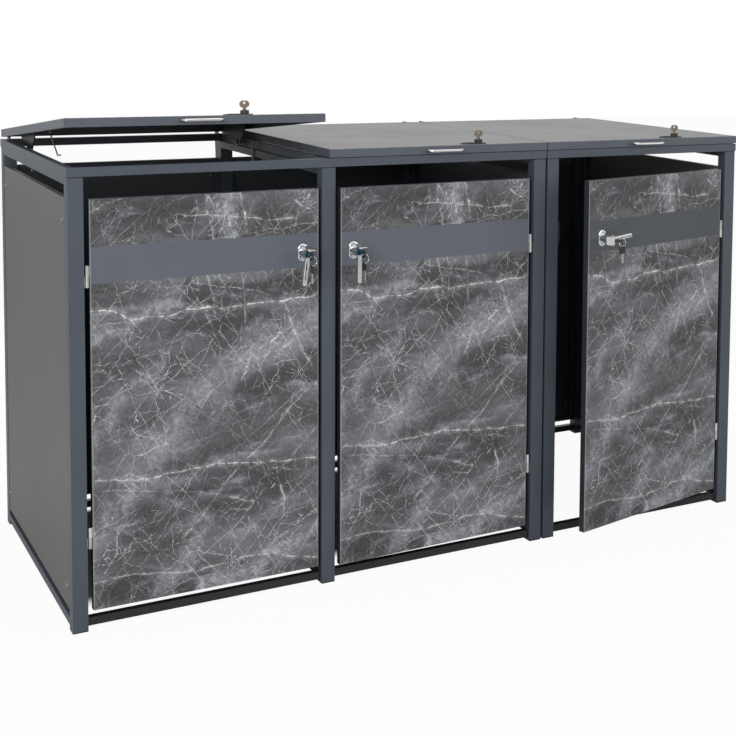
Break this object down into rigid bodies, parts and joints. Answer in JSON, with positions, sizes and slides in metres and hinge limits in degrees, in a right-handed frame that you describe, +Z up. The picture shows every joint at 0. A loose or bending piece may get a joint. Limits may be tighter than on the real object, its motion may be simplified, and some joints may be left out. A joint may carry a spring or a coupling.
{
  "type": "wheelie bin store",
  "caption": "Steel store for wheelie bins: square-post frames with sheet walls, stone-print doors with lever locks and lift-up lids.",
  "frame": {"origin": "centre of the underside of the front left post's foot", "axes": "+X right along the front, +Y from the doors to the back, +Z up"},
  "size_m": [1.958, 1.1603, 1.275],
  "materials": {
    "anthracite_frame": "satin",
    "anthracite_wall": "satin",
    "stone_print_door": "satin stone print with a plain band",
    "black_plastic": "matte",
    "black_steel": "satin",
    "zinc_steel": "zinc plated",
    "screw_steel": "satin",
    "chrome_lock": "polished",
    "key_steel": "nickel with a black bow",
    "brushed_handle": "brushed"
  },
  "bodies": {
    "frame": {"post_plugs": "black_plastic", "side_frame_1": "anthracite_frame", "side_frame_2": "anthracite_frame", "side_frame_3": "anthracite_frame", "side_frame_4": "anthracite_frame", "side_frame_5": "anthracite_frame", "bottom_rails": "black_steel", "rim_double": "anthracite_frame", "rim_single": "anthracite_frame", "unit_link_bolts": "screw_steel", "side_panel_1": "anthracite_wall", "side_panel_2": "anthracite_wall", "side_panel_3": "anthracite_wall", "side_panel_4": "anthracite_wall", "back_panel_1": "anthracite_wall", "back_panel_2": "anthracite_wall", "back_panel_3": "anthracite_wall", "panel_screws": "screw_steel", "door_hinge_posts": "zinc_steel", "lid_guides": "zinc_steel"},
    "door_1": {"door_1": "stone_print_door", "door_fittings_1": "chrome_lock"},
    "lever_1": {"lock_lever_1": "chrome_lock"},
    "cover_1": {"lock_cover_1": "chrome_lock"},
    "key_1": {"lock_key_1": "key_steel"},
    "spare_key_1": {"spare_key_1": "key_steel"},
    "door_2": {"door_2": "stone_print_door", "door_fittings_2": "chrome_lock"},
    "lever_2": {"lock_lever_2": "chrome_lock"},
    "cover_2": {"lock_cover_2": "chrome_lock"},
    "key_2": {"lock_key_2": "key_steel"},
    "spare_key_2": {"spare_key_2": "key_steel"},
    "door_3": {"door_3": "stone_print_door", "door_fittings_3": "chrome_lock"},
    "lever_3": {"lock_lever_3": "chrome_lock"},
    "cover_3": {"lock_cover_3": "chrome_lock"},
    "key_3": {"lock_key_3": "key_steel"},
    "spare_key_3": {"spare_key_3": "key_steel"},
    "lid_1": {"lid_1": "anthracite_frame", "lid_arms_1": "black_steel", "lid_handle_1": "brushed_handle", "lid_lock_1": "black_plastic"},
    "prop_1": {"prop_rod_1": "zinc_steel"},
    "lid_key_1": {"lid_key_1": "key_steel"},
    "lid_2": {"lid_2": "anthracite_frame", "lid_arms_2": "black_steel", "lid_handle_2": "brushed_handle", "lid_lock_2": "black_plastic"},
    "prop_2": {"prop_rod_2": "zinc_steel"},
    "lid_key_2": {"lid_key_2": "key_steel"},
    "lid_3": {"lid_3": "anthracite_frame", "lid_arms_3": "black_steel", "lid_handle_3": "brushed_handle", "lid_lock_3": "black_plastic"},
    "prop_3": {"prop_rod_3": "zinc_steel"},
    "lid_key_3": {"lid_key_3": "key_steel"}
  },
  "joints": [
    {"name": "door_1_swing", "type": "hinge", "parent": "frame", "child": "door_1", "pos_m": [0.025, -0.013, 0.5205], "axis": [0, 0, -1], "range_deg": [0, 110]},
    {"name": "lever_1_turn", "type": "hinge", "parent": "door_1", "child": "lever_1", "pos_m": [0.556, -0.015, 0.885], "axis": [0, 1, 0], "range_deg": [-7, 87]},
    {"name": "cover_1_flap", "type": "hinge", "parent": "lever_1", "child": "cover_1", "pos_m": [0.55794, -0.0554, 0.90078], "axis": [-0.9925, 0, 0.1219], "range_deg": [-4, 70]},
    {"name": "key_1_turn", "type": "hinge", "parent": "lever_1", "child": "key_1", "pos_m": [0.556, -0.0584, 0.885], "axis": [0, 1, 0], "range_deg": [0, 90]},
    {"name": "spare_key_1_swing", "type": "hinge", "parent": "key_1", "child": "spare_key_1", "pos_m": [0.556, -0.0844, 0.885], "axis": [0, 1, 0], "range_deg": [-15, 15]},
    {"name": "door_2_swing", "type": "hinge", "parent": "frame", "child": "door_2", "pos_m": [1.225, -0.013, 0.5205], "axis": [0, 0, 1], "range_deg": [-2, 108]},
    {"name": "lever_2_turn", "type": "hinge", "parent": "door_2", "child": "lever_2", "pos_m": [0.6864, -0.03381, 0.885], "axis": [0.0349, -0.9994, 0], "range_deg": [0, 94]},
    {"name": "cover_2_flap", "type": "hinge", "parent": "lever_2", "child": "cover_2", "pos_m": [0.68781, -0.07419, 0.9009], "axis": [-0.9994, -0.0349, 0], "range_deg": [-4, 70]},
    {"name": "key_2_turn", "type": "hinge", "parent": "lever_2", "child": "key_2", "pos_m": [0.68791, -0.07718, 0.885], "axis": [-0.0349, 0.9994, 0], "range_deg": [0, 90]},
    {"name": "spare_key_2_swing", "type": "hinge", "parent": "key_2", "child": "spare_key_2", "pos_m": [0.68882, -0.10317, 0.885], "axis": [-0.0349, 0.9994, 0], "range_deg": [-15, 15]},
    {"name": "door_3_swing", "type": "hinge", "parent": "frame", "child": "door_3", "pos_m": [1.893, -0.013, 0.5205], "axis": [0, 0, 1], "range_deg": [-13.4, 96.6]},
    {"name": "lever_3_turn", "type": "hinge", "parent": "door_3", "child": "lever_3", "pos_m": [1.3847, -0.13615, 0.885], "axis": [0.2317, -0.9728, 0], "range_deg": [-94, 0]},
    {"name": "cover_3_flap", "type": "hinge", "parent": "lever_3", "child": "cover_3", "pos_m": [1.37864, -0.17913, 0.88389], "axis": [0.0679, 0.0162, -0.9976], "range_deg": [-4, 70]},
    {"name": "key_3_turn", "type": "hinge", "parent": "lever_3", "child": "key_3", "pos_m": [1.39476, -0.17837, 0.885], "axis": [-0.2317, 0.9728, 0], "range_deg": [0, 90]},
    {"name": "spare_key_3_swing", "type": "hinge", "parent": "key_3", "child": "spare_key_3", "pos_m": [1.40078, -0.20366, 0.885], "axis": [-0.2317, 0.9728, 0], "range_deg": [-15, 15]},
    {"name": "lid_1_lift", "type": "hinge", "parent": "frame", "child": "lid_1", "pos_m": [0.3015, 0.902, 0.96], "axis": [-1, 0, 0], "range_deg": [-5.75, 64.25]},
    {"name": "prop_1_swing", "type": "hinge", "parent": "lid_1", "child": "prop_1", "pos_m": [0.043, 0.53293, 1.16752], "axis": [1, 0, 0], "range_deg": [-34, 40]},
    {"name": "lid_key_1_turn", "type": "hinge", "parent": "lid_1", "child": "lid_key_1", "pos_m": [0.4195, 0.02745, 1.23802], "axis": [0, -0.1002, -0.995], "range_deg": [0, 90]},
    {"name": "lid_2_lift", "type": "hinge", "parent": "frame", "child": "lid_2", "pos_m": [0.9485, 0.902, 0.96], "axis": [-1, 0, 0], "range_deg": [0, 70]},
    {"name": "prop_2_swing", "type": "hinge", "parent": "lid_2", "child": "prop_2", "pos_m": [0.668, 0.514, 1.1295], "axis": [1, 0, 0], "range_deg": [0, 74]},
    {"name": "lid_key_2_turn", "type": "hinge", "parent": "lid_2", "child": "lid_key_2", "pos_m": [1.0665, 0.004, 1.149], "axis": [0, 0, -1], "range_deg": [0, 90]},
    {"name": "lid_3_lift", "type": "hinge", "parent": "frame", "child": "lid_3", "pos_m": [1.6055, 0.902, 0.96], "axis": [-1, 0, 0], "range_deg": [0, 70]},
    {"name": "prop_3_swing", "type": "hinge", "parent": "lid_3", "child": "prop_3", "pos_m": [1.336, 0.514, 1.1295], "axis": [1, 0, 0], "range_deg": [0, 74]},
    {"name": "lid_key_3_turn", "type": "hinge", "parent": "lid_3", "child": "lid_key_3", "pos_m": [1.7235, 0.004, 1.149], "axis": [0, 0, -1], "range_deg": [0, 90]}
  ]
}
